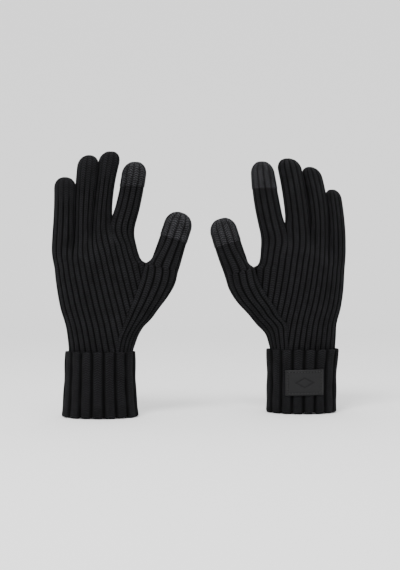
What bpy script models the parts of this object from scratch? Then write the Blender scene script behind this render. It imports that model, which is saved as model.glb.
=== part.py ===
"""Pair of rib-knit touchscreen gloves, standing on their cuffs with the fingers up.

Metres, +Z up. Backs of the hands face -Y, palms face +Y, thumbs point at each other.
Each glove has its own local frame: "across" runs from the little finger to the thumb,
measured from the middle of the wrist, and "side" (1 or -1) turns it into world X.
"""
import math

import bmesh
import bpy
from mathutils import Matrix, Vector

MM = 0.001

# Driving dimensions, millimetres
WALL = 1.8                # knitted fabric, one layer
JOINT_GAP = 0.7           # slot between two neighbouring pieces at a finger joint
CUFF_HEIGHT = 66.0        # turned-back cuff, hem to upper edge
CUFF_DEPTH = 23.4         # half, front to back
STRAIGHT_HEM = 3.0        # the hem rises straight this far, so that it stands flat
CUFF_LAYER = 2.6          # turned-back layer of heavy rib
INNER_CUFF_BOTTOM = 3.0
HAND_BOTTOM = 61.6        # where the hand tube starts, inside the cuff
KNUCKLE_FLEX = 60.0       # degrees, first and middle finger joints
END_FLEX = 40.0           # degrees, last finger joint
THUMB_FLEX = 35.0
THUMB_END_FLEX = 50.0
FINGER_JOINTS = (0.0, 1 / 3, 2 / 3)     # along the free length of a finger
THUMB_JOINTS = (0.0, 0.6)
STUB_DEPTH = 27.0         # how far a finger's root runs down inside the palm
LABEL_SIZE = (38.5, 26.0)
LABEL_CENTRE = (-1.2, 32.4)
LABEL_THICKNESS = 1.5
LABEL_GAP = 0.35          # air between the cuff's ribs and the label
THREAD_INSET = 2.4        # stitching in from the label's edge
THREAD_RADIUS = 0.3
THREAD_LIFT = 0.65        # middle of the thread above the label's face
LABEL_DEPTH = -25.0       # where the label's own origin lies
CARE_LABEL = (16.0, 0.7, 26.0)
CARE_LABEL_DEPTH = 16.2   # inside the cuff, on the palm side
CARE_LABEL_HEIGHT = 40.0
THUMB_ROOT = 10.0         # from the thumb's start to its first joint
ROOT_SWELL = 1.5          # the gusset is a little wider than the thumb that leaves it
CUT_PAST = 4.0            # hollows run on this far, so that they cut right through
PALM_LEVELS = (76, 92, 110, 130, 148, 158, 169, 181)
PALM_SLANT = 9.0          # rise of the palm's top towards the index finger
SLANT_START = 120.0
SLANT_SPAN = 60.0
CROWN_RISE = 5.0          # closing ring above the palm's highest level
CROWN_SHRINK = 0.16
PALM_SQUARENESS = 0.14    # how far the palm's oval goes towards a rounded rectangle
TIP_ANGLES = (30, 52, 72)               # rings of a rounded tip, degrees from its shoulder
RING_FINGER = 12          # points round a finger
RING_GUSSET = 16
RING_PALM = 24
RING_CUFF = 28

# Palm outline: height, little-finger side, thumb side, half depth.
# Finger: first joint (across, height), across at mid length and tip, tip height,
# widths (half) at joint, mid length and tip, half depth, how far the tip leans in Y.
GLOVES = {
    "left": {
        "side": 1, "x": -100.95, "y": -17.5, "turn": 0.2,
        "cuff": ((0, -38.4, 36.6), (24, -36.8, 34.9), (48, -35.9, 34.4), (66, -35.2, 34.4)),
        "palm": ((61.6, -31.6, 30.9, 18.6), (78, -32.8, 32.8, 18.5), (90, -34.5, 34.5, 18.0),
                 (108, -39.5, 38.0, 17.5), (126, -42.6, 41.0, 17.0), (144, -44.6, 43.0, 17.0),
                 (153, -45.2, 43.0, 16.8), (160, -45.6, 38.2, 16.4), (170, -46.0, 34.8, 15.6),
                 (180, -46.6, 34.0, 14.2)),
        "gusset": ((84, 20, 35.5, 14.5), (96, 24, 47.0, 15.5), (110, 29.5, 58.0, 16.5),
                   (128, 36, 71.0, 17.0), (142, 41, 75.8, 16.5)),
        "fingers": {
            "index": (26.4, 206, 31.0, 34.3, 254.0, (11.3, 11.2, 11.0), 10.8, -4),
            "middle": (2.7, 207.5, 5.6, 10.0, 264.0, (8.6, 8.4, 9.8), 10.8, -5),
            "ring": (-16.0, 193, -13.7, -11.0, 259.6, (8.6, 9.5, 10.2), 10.6, -5),
            "little": (-36.2, 185, -35.0, -34.2, 237.3, (10.8, 10.3, 10.3), 10.2, -4),
        },
        "thumb": {"start": (62.3, 148.0), "end": (80.5, 203.2), "widths": (14.0, 13.3, 13.2),
                  "depth": 13.0, "lean": -2},
    },
    "right": {
        "side": -1, "x": 104.05, "y": 17.5, "turn": -0.12,
        "cuff": ((0, -34.6, 37.2), (24, -34.4, 36.4), (48, -35.2, 36.8), (66, -37.2, 37.3)),
        "palm": ((61.6, -33.4, 33.4, 18.6), (78, -34.2, 34.5, 18.5), (90, -34.8, 36.5, 18.0),
                 (108, -39.4, 41.0, 17.5), (126, -42.2, 45.0, 17.0), (144, -43.4, 47.5, 17.0),
                 (151, -43.7, 47.0, 16.8), (158, -44.0, 43.8, 16.4), (170, -44.6, 42.6, 15.6),
                 (180, -44.8, 43.2, 14.2)),
        "gusset": ((84, 19, 37.0, 14.5), (96, 25, 50.5, 15.5), (110, 32, 64.0, 16.5),
                   (128, 40, 76.0, 17.0), (142, 45, 80.6, 16.5)),
        "fingers": {
            "index": (32.9, 202, 39.7, 41.6, 258.3, (12.3, 11.8, 11.0), 11.0, 0),
            "middle": (5.4, 203, 9.2, 13.6, 262.4, (12.0, 11.7, 11.8), 11.2, 2),
            "ring": (-17.8, 190, -15.0, -9.2, 254.2, (9.6, 9.8, 9.8), 10.6, 5),
            "little": (-36.3, 184, -34.8, -31.9, 231.0, (8.2, 7.9, 8.0), 9.8, 7),
        },
        "thumb": {"start": (69.3, 147.0), "end": (85.3, 199.2), "widths": (14.0, 13.2, 13.2),
                  "depth": 13.0, "lean": 2},
    },
}

YARN = (0.016, 0.016, 0.017)
TOUCH_YARN = (0.042, 0.042, 0.044)
LABEL_GREY = (0.026, 0.026, 0.027)
CARE_WHITE = (0.60, 0.60, 0.58)


# Scene and helpers
for old in list(bpy.data.objects):
    bpy.data.objects.remove(old, do_unlink=True)

PARTS = bpy.data.collections.new("touchscreen gloves")
CUTTERS = bpy.data.collections.new("cutters")
bpy.context.scene.collection.children.link(PARTS)
bpy.context.scene.collection.children.link(CUTTERS)


def material(name, colour, roughness):
    """A Principled material of its own for one piece."""
    mat = bpy.data.materials.new(name)
    mat.use_nodes = True
    shader = mat.node_tree.nodes["Principled BSDF"]
    shader.inputs["Base Color"].default_value = (*colour, 1)
    shader.inputs["Roughness"].default_value = roughness
    return mat


def interpolate(table, position):
    """Row of a table at a position, smooth between rows; the first column is the position."""
    rows = [table[0], *table, table[-1]]
    position = min(max(position, table[0][0]), table[-1][0])
    for k in range(1, len(rows) - 2):
        if position <= rows[k + 1][0]:
            break
    span = rows[k + 1][0] - rows[k][0]
    t = (position - rows[k][0]) / span
    out = []
    for a, b, c, d in zip(*(rows[k + j][1:] for j in (-1, 0, 1, 2))):
        before = (c - a) * span / max(rows[k + 1][0] - rows[k - 1][0], 1e-9)
        after = (d - b) * span / max(rows[k + 2][0] - rows[k][0], 1e-9)
        out.append(b * (1 + 2 * t) * (1 - t) ** 2 + before * t * (1 - t) ** 2
                   + c * t * t * (3 - 2 * t) + after * t * t * (t - 1))
    return out


def through(three, t):
    """Parabola through three values at 0, 1/2 and 1."""
    return (three[0] * (1 - t) * (1 - 2 * t) + three[1] * 4 * t * (1 - t)
            + three[2] * t * (2 * t - 1))


def depth_shift(glove, across, height):
    """The hand turns a little about the vertical above the wrist."""
    rise = min(max((height - 66) / 90, 0), 1)
    rise = rise * rise * (3 - 2 * rise)
    return glove["turn"] * 40 * math.tanh(across / 40) * rise


def world(glove, across, depth, height):
    """Local millimetres to world metres."""
    return Vector((glove["x"] + glove["side"] * across, glove["y"] + depth, height)) * MM


def loft(name, rings, close_start, close_end, origin, collection):
    """Object whose skin runs through rings of points, each end open or closed by a fan."""
    mesh = bpy.data.meshes.new(name)
    bm = bmesh.new()
    made = [[bm.verts.new(p - origin) for p in ring] for ring in rings]
    count = len(rings[0])
    for low, high in zip(made, made[1:]):
        for k in range(count):
            j = (k + 1) % count
            bm.faces.new((low[k], low[j], high[j], high[k]))
    for ring, closed in ((made[0], close_start), (made[-1], close_end)):
        if closed:
            centre = bm.verts.new(sum((v.co for v in ring), Vector()) / count)
            for k in range(count):
                bm.faces.new((ring[k], ring[(k + 1) % count], centre))
    bmesh.ops.recalc_face_normals(bm, faces=bm.faces)
    if not (close_start and close_end):
        outward = sum((f.normal.dot(f.calc_center_median()
                       - sum((v.co for v in made[0]), Vector()) / count) for f in bm.faces))
        if outward < 0:
            bmesh.ops.reverse_faces(bm, faces=bm.faces)
    if collection is CUTTERS:
        bmesh.ops.triangulate(bm, faces=bm.faces)
    bm.to_mesh(mesh)
    bm.free()
    obj = bpy.data.objects.new(name, mesh)
    obj.location = origin
    collection.objects.link(obj)
    if collection is CUTTERS:
        obj.hide_render = True
        obj.display_type = "WIRE"
    return obj


def finish(obj, mat, parent=None):
    """Own material, smooth round the knit, and its place under the piece it hangs on."""
    obj.data.materials.append(mat)
    obj.data.shade_smooth()
    obj.data.set_sharp_from_angle(angle=math.radians(50))
    if parent is not None:
        here = Vector(obj.location)
        up = parent
        while up is not None:
            here -= Vector(up.location)
            up = up.parent
        obj.parent = parent
        obj.location = here
    return obj


def wall_inside(obj, thickness):
    """Give an open skin its wall, growing inwards."""
    solid = obj.modifiers.new("wall", "SOLIDIFY")
    solid.thickness = thickness * MM
    solid.offset = -1
    solid.use_even_offset = True


def boolean(obj, cutter, operation):
    """Join or cut; the closed skins of the hand meet at grazing angles, so MANIFOLD."""
    cut = obj.modifiers.new(f"{operation.lower()} {cutter.name}", "BOOLEAN")
    cut.operation = operation
    cut.object = cutter
    cut.solver = "MANIFOLD"


# Digits
def finger_axis(row):
    """Digit description of a finger, from its row of dimensions."""
    across, height, middle, tip, tip_height, widths, depth, lean = row
    return {"origin": (across, height), "tilt": 0.0, "length": tip_height - height,
            "drift": (0, middle - across, tip - across), "widths": widths, "depth": depth,
            "lean": lean, "joints": FINGER_JOINTS,
            "flex": (KNUCKLE_FLEX, KNUCKLE_FLEX, END_FLEX)}


def thumb_axis(spec):
    """Digit description of the thumb; its first joint lies just above the gusset."""
    dx, dz = spec["end"][0] - spec["start"][0], spec["end"][1] - spec["start"][1]
    full = math.hypot(dx, dz)
    return {"origin": (spec["start"][0] + dx * THUMB_ROOT / full,
                       spec["start"][1] + dz * THUMB_ROOT / full),
            "tilt": math.atan2(dx, dz), "length": full - THUMB_ROOT, "drift": (0, 0, 0),
            "widths": spec["widths"], "depth": spec["depth"], "lean": spec["lean"],
            "joints": THUMB_JOINTS, "flex": (THUMB_FLEX, THUMB_END_FLEX)}


def digit_centre(glove, digit, along):
    """Centre of the digit at a distance from its first joint: across, depth, height."""
    share = along / digit["length"]
    across = digit["origin"][0] + through(digit["drift"], share)
    base_depth = depth_shift(glove, digit["origin"][0], digit["origin"][1])
    depth = base_depth + digit["lean"] * max(share, 0) ** 2
    return (across + along * math.sin(digit["tilt"]),
            depth, digit["origin"][1] + along * math.cos(digit["tilt"]))


def digit_ring(glove, digit, along, inset, slope=0.0, shrink=1.0):
    """Ring of points round the digit; slope tips its palm side along the digit."""
    share = min(max(along / digit["length"], 0), 1)
    width = (through(digit["widths"], share) - inset) * shrink
    depth = (digit["depth"] - inset) * shrink
    across, mid, height = digit_centre(glove, digit, along)
    sin, cos = math.sin(digit["tilt"]), math.cos(digit["tilt"])
    ring = []
    for k in range(RING_FINGER):
        angle = 2 * math.pi * k / RING_FINGER
        side, front = width * math.cos(angle), depth * math.sin(angle)
        shift = slope * max(front, 0)
        ring.append(world(glove, across + side * cos + shift * sin, mid + front,
                          height - side * sin + shift * cos))
    return ring


def joint_point(glove, digit, k):
    return world(glove, *digit_centre(glove, digit, digit["joints"][k] * digit["length"]))


def digit_segment(glove, digit, k, name):
    """Segment k of a digit: a tube between two joints, or the closed tip."""
    length = digit["length"]
    start = digit["joints"][k] * length + JOINT_GAP / 2
    rise = math.tan(math.radians(digit["flex"][k] / 2))
    if k + 1 < len(digit["joints"]):
        stop = digit["joints"][k + 1] * length - JOINT_GAP / 2
        fall = -math.tan(math.radians(digit["flex"][k + 1] / 2))
        steps = ((start, rise), ((start + stop) / 2, (rise + fall) / 2), (stop, fall))
        rings = [digit_ring(glove, digit, s, 0, slope) for s, slope in steps]
        last = False
    else:
        radius = digit["depth"]
        shoulder = length - radius
        rings = [digit_ring(glove, digit, start, 0, rise)]
        if shoulder > start + 6:
            rings.append(digit_ring(glove, digit, shoulder, 0, 0.1 * rise))
        first = max(shoulder, start + 3)
        for angle in TIP_ANGLES:
            reach = first + (length - first) * math.sin(math.radians(angle))
            rings.append(digit_ring(glove, digit, reach, 0, 0, math.cos(math.radians(angle))))
        last = True
    obj = loft(name, rings, False, last, joint_point(glove, digit, k), PARTS)
    if last:
        tip = obj.data.vertices[len(obj.data.vertices) - 1]
        tip.co = world(glove, *digit_centre(glove, digit, length)) - obj.location
    wall_inside(obj, WALL)
    return obj


# Hand
def palm_ring(glove, height, inset, tilt):
    """Rounded oval of the palm; upper rings rise towards the index finger."""
    outer, inner, depth = interpolate(glove["palm"], height)
    outer, inner, depth = outer + inset, inner - inset, depth - inset
    mid, half = (outer + inner) / 2, (inner - outer) / 2
    roundness = 1 - PALM_SQUARENESS * min(max((height - 70) / 40, 0), 1)
    ring = []
    for k in range(RING_PALM):
        angle = 2 * math.pi * k / RING_PALM
        cos, sin = math.cos(angle), math.sin(angle)
        across = mid + half * math.copysign(abs(cos) ** roundness, cos)
        front = depth * math.copysign(abs(sin) ** roundness, sin)
        z = height + tilt * across / 40
        ring.append(world(glove, across, front + depth_shift(glove, across, z), z))
    return ring


def palm_skin(glove, name, inset, bottom):
    rings = []
    for height in (bottom, *PALM_LEVELS):
        tilt = PALM_SLANT * max(0, (height - SLANT_START) / SLANT_SPAN) ** 1.5
        rings.append(palm_ring(glove, height, inset, tilt))
    middle = sum(rings[-1], Vector()) / RING_PALM
    rise = Vector((0, 0, (CROWN_RISE - inset) * MM))
    crown = [point.lerp(middle, CROWN_SHRINK) + rise for point in rings[-1]]
    rings.append(crown)
    return loft(name, rings, True, True, world(glove, 0, 0, HAND_BOTTOM), CUTTERS)


def gusset_skin(glove, thumb, name, inset):
    """Thumb gusset from the wrist's side up to the thumb's root, as a closed loft."""
    rings = []
    low, high = glove["gusset"][0][0], glove["gusset"][-1][0]
    for height, inner, outer, depth in glove["gusset"]:
        tilt = thumb["tilt"] * (height - low) / (high - low)
        height += inset
        mid, half = (inner + outer) / 2, (outer - inner) / 2 - inset
        ring = []
        for k in range(RING_GUSSET):
            angle = 2 * math.pi * k / (RING_GUSSET)
            side = half * math.cos(angle)
            across, z = mid + side * math.cos(tilt), height - side * math.sin(tilt)
            shift = depth_shift(glove, across, z)
            ring.append(world(glove, across, (depth - inset) * math.sin(angle) + shift, z))
        rings.append(ring)
    root = digit_ring(glove, thumb, -THUMB_ROOT, inset - ROOT_SWELL)
    rise = 0 if inset else -math.tan(math.radians(THUMB_FLEX / 2))
    stop = digit_ring(glove, thumb, CUT_PAST if inset else -JOINT_GAP / 2, inset, rise)
    rings += [resample(ring, RING_GUSSET) for ring in (root, stop)]
    return loft(name, rings, True, True, world(glove, 0, 0, HAND_BOTTOM), CUTTERS)


def resample(ring, count):
    """The same closed ring with another number of points, equally spaced by index."""
    old = len(ring)
    out = []
    for k in range(count):
        place = k * old / count
        a = int(place) % old
        out.append(ring[a].lerp(ring[(a + 1) % old], place - int(place)))
    return out


def hand_body(glove, side, digits, mat):
    """Hollow knitted hand: palm, thumb gusset and the roots of the five digits."""
    origin = world(glove, 0, 0, HAND_BOTTOM)
    name = f"{side}_hand"
    outer = palm_skin(glove, f"{name}_body", 0, HAND_BOTTOM)
    CUTTERS.objects.unlink(outer)
    PARTS.objects.link(outer)
    outer.hide_render = False
    outer.display_type = "TEXTURED"
    thumb = digits["thumb"]
    boolean(outer, gusset_skin(glove, thumb, f"{name}_gusset_skin", 0), "UNION")
    slope = -math.tan(math.radians(KNUCKLE_FLEX / 2))
    for finger, digit in digits.items():
        if finger == "thumb":
            continue
        rings = [digit_ring(glove, digit, -STUB_DEPTH, 0),
                 digit_ring(glove, digit, -JOINT_GAP / 2, 0, slope)]
        stub = loft(f"{name}_{finger}_root", rings, True, True, origin, CUTTERS)
        boolean(outer, stub, "UNION")
    boolean(outer, palm_skin(glove, f"{name}_palm_hollow", WALL, HAND_BOTTOM - 3),
            "DIFFERENCE")
    boolean(outer, gusset_skin(glove, thumb, f"{name}_gusset_hollow", WALL), "DIFFERENCE")
    for finger, digit in digits.items():
        if finger == "thumb":
            continue
        rings = [digit_ring(glove, digit, -STUB_DEPTH - CUT_PAST, WALL),
                 digit_ring(glove, digit, CUT_PAST, WALL)]
        hollow = loft(f"{name}_{finger}_hollow", rings, True, True, origin, CUTTERS)
        boolean(outer, hollow, "DIFFERENCE")
    return finish(outer, mat)


# Cuff
def cuff_point(glove, angle, height, offset, outline_height):
    """Point on the cuff's outer face, moved outwards by offset."""
    outer, inner = interpolate(glove["cuff"], outline_height)
    mid, half = (outer + inner) / 2, (inner - outer) / 2
    cos, sin = math.cos(angle), math.sin(angle)
    return world(glove, mid + (half + offset) * cos, (CUFF_DEPTH + offset) * sin, height)


def cuff_layer(glove, side, name, inset, thickness, bottom, top, mat, parent):
    """One layer of the cuff: an open oval skin with its wall growing inwards."""
    straight = bottom + STRAIGHT_HEM
    heights = [bottom, straight, *(straight + (top - straight) * k / 3 for k in (1, 2, 3))]
    rings = [[cuff_point(glove, 2 * math.pi * k / RING_CUFF, z, -inset, max(z, straight))
              for k in range(RING_CUFF)] for z in heights]
    obj = loft(f"{side}_{name}", rings, False, False, world(glove, 0, 0, bottom), PARTS)
    wall_inside(obj, thickness)
    return finish(obj, mat, parent)


def label_patch(glove, side, mat, parent):
    """Rectangular label bent round the front of the cuff."""
    width, height = LABEL_SIZE
    columns = 8
    mesh = bpy.data.meshes.new(f"{side}_label_patch")
    bm = bmesh.new()
    bmesh.ops.create_grid(bm, x_segments=columns, y_segments=1, size=0.5)
    origin = world(glove, LABEL_CENTRE[0], LABEL_DEPTH, LABEL_CENTRE[1])
    for v in bm.verts:
        across = LABEL_CENTRE[0] + v.co.x * width
        z = LABEL_CENTRE[1] + v.co.y * height
        v.co = cuff_front(glove, across, z, LABEL_GAP) - origin
    bmesh.ops.recalc_face_normals(bm, faces=bm.faces)
    if sum(f.normal.y for f in bm.faces) > 0:
        bmesh.ops.reverse_faces(bm, faces=bm.faces)
    bm.to_mesh(mesh)
    bm.free()
    obj = bpy.data.objects.new(mesh.name, mesh)
    obj.location = origin
    PARTS.objects.link(obj)
    solid = obj.modifiers.new("thickness", "SOLIDIFY")
    solid.thickness = LABEL_THICKNESS * MM
    solid.offset = 1
    return finish(obj, mat, parent)


def cuff_front(glove, across, height, offset):
    """Point in front of the cuff's outer face at a place across."""
    outer, inner = interpolate(glove["cuff"], LABEL_CENTRE[1])
    mid, half = (outer + inner) / 2, (inner - outer) / 2
    cos = (across - mid) / (half + offset)
    return world(glove, across, -(CUFF_DEPTH + offset) * math.sqrt(1 - cos * cos), height)


def label_stitching(glove, side, mat, parent):
    """Sewing thread round the label's edge, one closed line of thread."""
    lift = LABEL_GAP + LABEL_THICKNESS + THREAD_LIFT
    half_w, half_h = (size / 2 - THREAD_INSET for size in LABEL_SIZE)
    corners = [(-half_w, -half_h), (half_w, -half_h), (half_w, half_h), (-half_w, half_h)]
    route = []
    for k, (ax, az) in enumerate(corners):
        bx, bz = corners[(k + 1) % 4]
        steps = 8 if k % 2 == 0 else 2
        route += [(ax + (bx - ax) * j / steps, az + (bz - az) * j / steps)
                  for j in range(steps)]
    curve = bpy.data.curves.new(f"{side}_label_stitching", "CURVE")
    curve.dimensions = "3D"
    curve.bevel_depth = THREAD_RADIUS * MM
    curve.bevel_resolution = 1
    line = curve.splines.new("POLY")
    line.points.add(len(route) - 1)
    origin = world(glove, LABEL_CENTRE[0], LABEL_DEPTH, LABEL_CENTRE[1])
    for point, (dx, dz) in zip(line.points, route):
        place = cuff_front(glove, LABEL_CENTRE[0] + dx, LABEL_CENTRE[1] + dz, lift) - origin
        point.co = (*place, 1)
    line.use_cyclic_u = True
    obj = bpy.data.objects.new(curve.name, curve)
    obj.location = origin
    PARTS.objects.link(obj)
    obj.data.materials.append(mat)
    here = Vector(obj.location) - Vector(parent.location)
    obj.parent, obj.location = parent, here
    return obj


def care_label(glove, side, mat, parent):
    """Small woven tab inside the cuff, on the palm side."""
    bpy.ops.mesh.primitive_cube_add(size=1)
    obj = bpy.context.object
    obj.name = f"{side}_care_label"
    obj.data.transform(Matrix.Diagonal((*(s * MM for s in CARE_LABEL), 1)))
    obj.location = world(glove, 0, CARE_LABEL_DEPTH, CARE_LABEL_HEIGHT)
    for home in list(obj.users_collection):
        home.objects.unlink(obj)
    PARTS.objects.link(obj)
    return finish(obj, mat, parent)


# Assembly
def build_glove(side, glove):
    digits = {name: finger_axis(row) for name, row in glove["fingers"].items()}
    digits["thumb"] = thumb_axis(glove["thumb"])
    hand = hand_body(glove, side, digits, material(f"{side} hand knit", YARN, 0.95))
    for name, digit in digits.items():
        labels = ("lower", "middle", "tip") if name != "thumb" else ("lower", "tip")
        parent = hand
        for k, label in enumerate(labels):
            touch = name in ("index", "thumb") and k == len(labels) - 1
            label = "touch_tip" if touch else label
            obj = digit_segment(glove, digit, k, f"{side}_{name}_{label}")
            mat = material(f"{obj.name} yarn", TOUCH_YARN if touch else YARN, 0.95)
            parent = finish(obj, mat, parent)
    cuff_layer(glove, side, "cuff_turnback", 0, CUFF_LAYER, 0, CUFF_HEIGHT,
               material(f"{side} cuff rib", YARN, 0.95), hand)
    cuff_layer(glove, side, "cuff_inner", CUFF_LAYER + 0.4, WALL, INNER_CUFF_BOTTOM,
               HAND_BOTTOM - 0.4, material(f"{side} inner cuff rib", YARN, 0.95), hand)
    care_label(glove, side, material(f"{side} care label", CARE_WHITE, 0.7), hand)
    if side == "right":
        label_patch(glove, side, material("label leather", LABEL_GREY, 0.55), hand)
        label_stitching(glove, side, material("label thread", LABEL_GREY, 0.7), hand)


for side_name, glove_spec in GLOVES.items():
    build_glove(side_name, glove_spec)
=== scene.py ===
import math

import bmesh
import bpy
import numpy as np
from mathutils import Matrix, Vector


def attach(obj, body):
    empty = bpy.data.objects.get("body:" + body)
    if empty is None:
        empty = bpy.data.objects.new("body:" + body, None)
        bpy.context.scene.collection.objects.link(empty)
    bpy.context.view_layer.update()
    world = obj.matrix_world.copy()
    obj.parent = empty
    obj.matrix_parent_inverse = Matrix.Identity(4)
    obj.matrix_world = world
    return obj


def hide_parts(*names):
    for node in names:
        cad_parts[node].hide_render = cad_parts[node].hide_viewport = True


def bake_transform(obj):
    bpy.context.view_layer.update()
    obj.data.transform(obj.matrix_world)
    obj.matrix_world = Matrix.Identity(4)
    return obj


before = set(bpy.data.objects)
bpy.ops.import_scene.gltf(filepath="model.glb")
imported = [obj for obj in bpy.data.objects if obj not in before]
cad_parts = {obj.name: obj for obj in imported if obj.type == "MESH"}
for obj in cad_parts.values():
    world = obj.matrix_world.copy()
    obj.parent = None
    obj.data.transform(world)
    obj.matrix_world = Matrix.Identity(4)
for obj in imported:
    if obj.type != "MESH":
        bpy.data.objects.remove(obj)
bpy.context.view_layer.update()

mm = 0.001

# Each glove has its own directions in millimetres: across runs from the little finger to the
# thumb, depth from the back of the hand to the palm, height up from the hem.
gloves = {
    "left": {
        "side": 1, "x": -100.95, "y": -17.5, "turn": 0.2,
        # height, little-finger side, thumb side: the cuff's outline
        "cuff": ((0, -39.6, 37.6), (24, -37.5, 35.2), (48, -36.5, 34.4), (66, -36.0, 34.2)),
        "cuffPhase": 0.5,
        # height, little-finger side, thumb side, half depth. Below the thumb's crotch the thumb
        # side is where the palm's ribs would end if the gusset didn't cover them.
        "palm": ((58, -31.4, 70, 18.4), (66, -31.8, 69, 18.6), (78, -32.8, 65, 18.5),
                 (90, -34.5, 61, 18.0), (108, -39.5, 55.5, 17.5), (126, -42.6, 50.5, 17.0),
                 (144, -44.6, 46.8, 17.0), (151, -45.0, 45.8, 16.8), (153.5, -45.2, 44.7, 16.8),
                 (154.7, -45.3, 41.6, 16.7), (157, -45.4, 39.2, 16.6),
                 (162.5, -45.8, 36.7, 16.0), (170, -46.1, 34.7, 15.4), (182, -46.6, 34.4, 14.0),
                 (204, -46.8, 37.4, 11.0)),
        # height, little-finger side, thumb side: the even fan that the palm's ribs follow
        "fan": ((58, -31.4, 66), (90, -35, 58), (120, -41, 50), (150, -45, 42), (170, -46, 36.5),
                (204, -46.8, 36.5)),
        # height, how far the ribs in the middle of the fan swing to the little-finger side
        "sway": ((58, 0), (110, -0.5), (170, -1.8), (204, -1.8)),
        # across, height: where the palm's ribs end on the gusset
        "gussetLine": ((14.5, 56), (16, 66), (18, 78), (23.5, 92), (29, 108), (35, 124),
                       (40, 138), (44.7, 153.5)),
        # across, height: the outer outline of the gusset
        "gussetOuter": ((31.0, 56), (31.6, 66), (33.6, 72.5), (38.5, 84.5), (42.5, 90.5),
                        (48.5, 96.5), (57.5, 108.5), (66.5, 120.5), (73.2, 132.5),
                        (76.3, 144.5)),
        # heights where the palm splits: outer side, three crotches, index side
        "splits": (172, 178, 184, 196, 196),
        "tipPlain": 0.72,  # how far the ribs fade out on the fingers' last pieces
        # across and height of the first joint, across at mid length and tip, tip height,
        # half widths at joint, middle and tip, half depth, lean of the tip
        "fingers": {
            "little": (-36.2, 185, -35.0, -34.2, 237.3, (10.8, 10.3, 10.3), 10.2, -7),
            "ring": (-16.4, 193, -14.6, -10.4, 259.0, (8.8, 9.9, 10.0), 10.6, -9),
            "middle": (1.6, 207.5, 5.0, 10.6, 263.2, (8.8, 8.8, 10.8), 10.8, -9),
            "index": (25.2, 206, 30.6, 34.4, 253.2, (12.0, 11.5, 11.0), 10.8, -8),
        },
        "thumb": ((62.3, 148.0), (80.5, 203.2), (14.0, 13.3, 13.2), 13.0, -2),
    },
    "right": {
        "side": -1, "x": 104.05, "y": 17.5, "turn": -0.12,
        "cuff": ((0, -35.4, 38.0), (24, -35.2, 37.3), (48, -36.0, 37.2), (66, -38.2, 37.9)),
        "cuffPhase": 0.0,
        "palm": ((58, -33.2, 60, 18.4), (66, -33.4, 59, 18.6), (78, -34.2, 57, 18.5),
                 (90, -34.8, 55, 18.0), (108, -39.4, 53, 17.5), (126, -42.2, 51.5, 17.0),
                 (144, -43.4, 51.2, 17.0), (149.5, -43.6, 50.5, 16.8), (151, -43.7, 47.4, 16.8),
                 (153.5, -43.9, 45.2, 16.6), (157.6, -44, 43.9, 16.4),
                 (163, -44.3, 43.2, 16.0), (170, -44.6, 43.0, 15.4), (182, -44.8, 43.8, 14.0),
                 (204, -44.8, 45.4, 11.2)),
        "fan": ((58, -33.2, 58), (90, -35, 53), (120, -41.4, 49), (150, -43.6, 45.4),
                (170, -44.6, 43.6), (204, -44.8, 45)),
        "sway": ((58, 0), (100, -1.8), (150, -5.0), (170, -6.2), (204, -6.2)),
        "gussetLine": ((15.0, 56), (15.6, 66), (16.0, 78), (17, 92), (24, 100), (30, 111),
                       (38.4, 122.4), (45.6, 134.8), (50.5, 149.5)),
        "gussetOuter": ((32.9, 56), (33.3, 66), (34.8, 72), (39.4, 83), (45.6, 89.2),
                        (56, 101.6), (67.4, 114), (75.4, 126.5), (79.6, 139), (80.6, 142)),
        "splits": (168, 174, 184, 190, 193),
        "tipPlain": 0.3,
        "fingers": {
            "little": (-36.3, 184, -34.8, -31.9, 231.0, (8.4, 8.1, 8.0), 9.8, 7),
            "ring": (-17.8, 190, -15.2, -8.0, 254.2, (9.6, 9.8, 9.8), 10.6, 5),
            "middle": (5.4, 203, 9.4, 15.4, 262.4, (12.0, 11.8, 11.8), 11.2, 2),
            "index": (34.2, 202, 39.2, 42.4, 258.3, (12.9, 12.3, 10.2), 11.0, 0),
        },
        "thumb": ((69.3, 147.0), (85.3, 199.2), (14.0, 13.2, 13.2), 13.0, 2),
    },
}

knit = {
    "course": 2.2,  # height of one row of stitches
    "palmWales": 36,  # ribs round the palm, four to a finger on each face
    "digitWales": 12,  # ribs round a finger or the thumb
    "perWale": 8,  # columns of faces across a rib
    "rowStep": 0.55,  # spacing of the rows of faces
    "grooveDepth": 2.2,
    "proud": 0.55,  # rib tops above the plain outline
    "stitchRelief": 0.7,
    "lean": 0.75,  # how far a stitch's legs climb, in rows
    "shoulder": 27,  # height over which the palm's top takes the fingers' shape
    "webRise": 15,  # height over which a finger's root turns round
    "touchSwell": 0.5,  # the conductive yarn is a little thicker
    "swellStep": 0.8,  # distance over which that thickness comes in
    "tipFade": 12,  # distance over which the ribs fade on a tip
    "tipRelief": 0.6,  # stitch relief that is left at the crown of a tip
}

hand = {
    "bottom": 58.0, "top": 184,  # of the palm's tube, which starts in the cuff
    "wrist": 66,  # from here up the hand shows
    # distance across at which the hand's turn levels out, and height over which it builds up
    "turnWidth": 40, "turnRise": 90,
    # how far the palm's oval goes towards a rounded rectangle, from which height and over which
    "squareness": 0.14, "squareStart": 70, "squareRise": 40,
}

# ribs round the palm, counted from the little-finger side over the back of the hand, where the
# back and the thumb side end, and ribs to a finger on each face
backEnd, thumbSideEnd, ribsPerFinger = 16, 18, 4
# degrees round a finger where its first rib lies, and degrees to a rib
fingerStart, ribAngle = 210, 30


def ease(t):
    # 0 to 1 with level ends
    t = np.clip(t, 0, 1)
    return t * t * (3 - 2 * t)


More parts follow.
